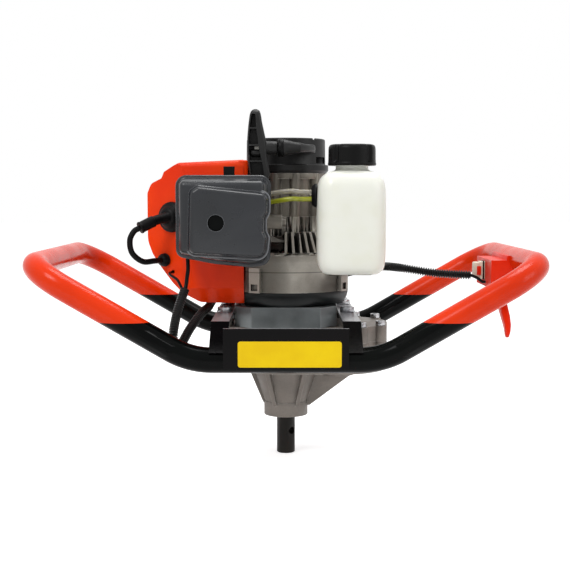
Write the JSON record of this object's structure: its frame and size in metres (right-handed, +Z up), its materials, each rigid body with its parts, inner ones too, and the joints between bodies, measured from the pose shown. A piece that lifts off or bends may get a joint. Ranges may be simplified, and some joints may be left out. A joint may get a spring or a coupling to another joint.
{
  "type": "earth auger power head",
  "caption": "Petrol earth auger power head: engine, clutch and reduction gearbox in a bent tube frame with hand loops, driving a stub shaft with a cross hole for the drill.",
  "frame": {"origin": "centre of the output shaft at its lower end", "axes": "+Z up along the shaft, +X right as seen from the front, -Y to the front with the fuel tank and air filter"},
  "size_m": [0.526, 0.3219, 0.3712],
  "materials": {
    "black_paint": "gloss",
    "orange_paint": "gloss",
    "yellow_plate": "satin",
    "cast_grey": "cast",
    "cast_light": "cast",
    "dark_cast": "satin",
    "screw_steel": "zinc plated",
    "black_steel": "blackened",
    "gear_steel": "ground",
    "lining": "rough",
    "plug_ceramic": "glazed",
    "rubber_black": "matte",
    "primer_rubber": "translucent",
    "orange_plastic": "gloss",
    "red_plastic": "satin",
    "grey_plastic": "satin",
    "dark_plastic": "satin",
    "black_plastic": "satin",
    "foam": "open cell foam",
    "muffler_black": "heat resistant paint",
    "tank_plastic": "translucent",
    "fuel_hose": "translucent",
    "rope": "braided cord",
    "switch_plastic": "satin",
    "conduit": "corrugated"
  },
  "bodies": {
    "frame": {"front_rail": "black_paint", "rear_rail": "black_paint", "left_grip": "orange_paint", "right_grip": "orange_paint", "saddle": "black_paint", "saddle_bolts": "screw_steel", "name_plate": "yellow_plate", "gearcase_lower": "cast_grey", "gearcase_upper": "cast_grey", "case_bolts": "screw_steel", "output_seal": "rubber_black", "gearbox_bearings": "gear_steel", "clutch_housing": "cast_grey", "fan_bowl": "dark_cast", "fan_housing": "cast_light", "crankcase_lower": "cast_light", "crankcase_upper": "cast_light", "main_bearings": "gear_steel", "cylinder": "cast_light", "spark_plug": "plug_ceramic", "plug_boot": "rubber_black", "ignition_lead": "rubber_black", "ignition_coil": "black_plastic", "cylinder_shroud": "orange_plastic", "insulator": "black_plastic", "carburettor": "cast_light", "filter_base": "black_plastic", "filter_foam": "foam", "filter_cover": "grey_plastic", "filter_screw": "black_plastic", "muffler": "muffler_black", "recoil_housing": "dark_plastic", "fuel_tank": "tank_plastic", "fuel_lines": "fuel_hose", "tank_bracket": "black_paint", "throttle_housing": "red_plastic", "cable_conduit": "conduit", "control_cables": "rubber_black"},
    "output": {"output_shaft": "black_steel", "output_gear": "gear_steel"},
    "lay": {"layshaft": "gear_steel", "layshaft_gear": "gear_steel"},
    "drum": {"input_pinion": "gear_steel", "clutch_drum": "gear_steel"},
    "crank": {"crankshaft": "gear_steel", "flywheel": "cast_light"},
    "shoe_a": {"clutch_shoe_a": "lining"},
    "shoe_b": {"clutch_shoe_b": "lining"},
    "piston": {"piston": "cast_light", "connecting_rod": "gear_steel"},
    "grip": {"starter_grip": "dark_plastic", "starter_rope": "rope"},
    "pulley": {"recoil_pulley": "dark_plastic"},
    "trigger": {"throttle_trigger": "red_plastic"},
    "arm": {"throttle_arm": "gear_steel"},
    "choke": {"choke_lever": "black_plastic"},
    "primer": {"primer_bulb": "primer_rubber"},
    "switch": {"stop_switch": "switch_plastic"},
    "seal": {"cap_seal": "rubber_black"},
    "cap": {"fuel_cap": "black_plastic"}
  },
  "joints": [
    {"name": "output_spin", "type": "hinge", "parent": "frame", "child": "output", "pos_m": [0, 0, 0], "axis": [0, 0, 1], "continuous": true},
    {"name": "layshaft_spin", "type": "hinge", "parent": "frame", "child": "lay", "pos_m": [0.057, 0, 0], "axis": [0, 0, 1], "continuous": true},
    {"name": "drum_spin", "type": "hinge", "parent": "frame", "child": "drum", "pos_m": [0, 0, 0], "axis": [0, 0, 1], "continuous": true},
    {"name": "crank_spin", "type": "hinge", "parent": "frame", "child": "crank", "pos_m": [0, 0, 0], "axis": [0, 0, 1], "continuous": true},
    {"name": "shoe_a_swing", "type": "hinge", "parent": "crank", "child": "shoe_a", "pos_m": [0.02741, 0.0122, 0.162], "axis": [0, 0, -1], "range_deg": [0, 1.3], "stiffness_Nm_per_rad": 2, "springref_deg": -2.86},
    {"name": "shoe_b_swing", "type": "hinge", "parent": "crank", "child": "shoe_b", "pos_m": [-0.02741, -0.0122, 0.162], "axis": [0, 0, -1], "range_deg": [0, 1.3], "stiffness_Nm_per_rad": 2, "springref_deg": -2.86},
    {"name": "piston_stroke", "type": "slide", "parent": "frame", "child": "piston", "axis": [1, 0, 0], "range_m": [0, 0.034]},
    {"name": "starter_pull", "type": "slide", "parent": "frame", "child": "grip", "axis": [-1, 0, 0], "range_m": [0, 0.65], "stiffness_N_per_m": 12, "springref_m": -0.25},
    {"name": "pulley_spin", "type": "hinge", "parent": "frame", "child": "pulley", "pos_m": [0, 0, 0.332], "axis": [0, 0, -1], "range_deg": [0, 1166]},
    {"name": "throttle_trigger", "type": "hinge", "parent": "frame", "child": "trigger", "pos_m": [0.238, 0.03, 0.19107], "axis": [-1, 0, 0], "range_deg": [0, 30], "stiffness_Nm_per_rad": 0.4, "springref_deg": -17.19},
    {"name": "throttle_arm", "type": "hinge", "parent": "frame", "child": "arm", "pos_m": [-0.074, -0.07, 0.2828], "axis": [0, 0, 1], "range_deg": [0, 60.5]},
    {"name": "choke", "type": "hinge", "parent": "frame", "child": "choke", "pos_m": [-0.057, -0.0935, 0.2885], "axis": [0, 1, 0], "range_deg": [0, 35]},
    {"name": "primer_press", "type": "slide", "parent": "frame", "child": "primer", "axis": [0, 0, 1], "range_m": [0, 0.003], "stiffness_N_per_m": 400, "springref_m": -0.001},
    {"name": "stop_button", "type": "slide", "parent": "frame", "child": "switch", "axis": [1, 0, 0], "range_m": [0, 0.004], "stiffness_N_per_m": 400, "springref_m": -0.001},
    {"name": "cap_lift", "type": "slide", "parent": "frame", "child": "seal", "axis": [0, 0, 1], "range_m": [0, 0.012]},
    {"name": "cap_turn", "type": "hinge", "parent": "seal", "child": "cap", "pos_m": [0.0655, -0.101, 0.32], "axis": [0, 0, 1], "range_deg": [0, 1085]}
  ],
  "couplings": [
    {"joint": "layshaft_spin", "follows": "output_spin", "ratio": -4.8462},
    {"joint": "drum_spin", "follows": "output_spin", "ratio": 23.485},
    {"joint": "pulley_spin", "follows": "starter_pull", "rad_per_m": 31.25},
    {"joint": "throttle_arm", "follows": "throttle_trigger", "ratio": 2},
    {"joint": "cap_turn", "follows": "cap_lift", "rad_per_m": 1570.8}
  ]
}
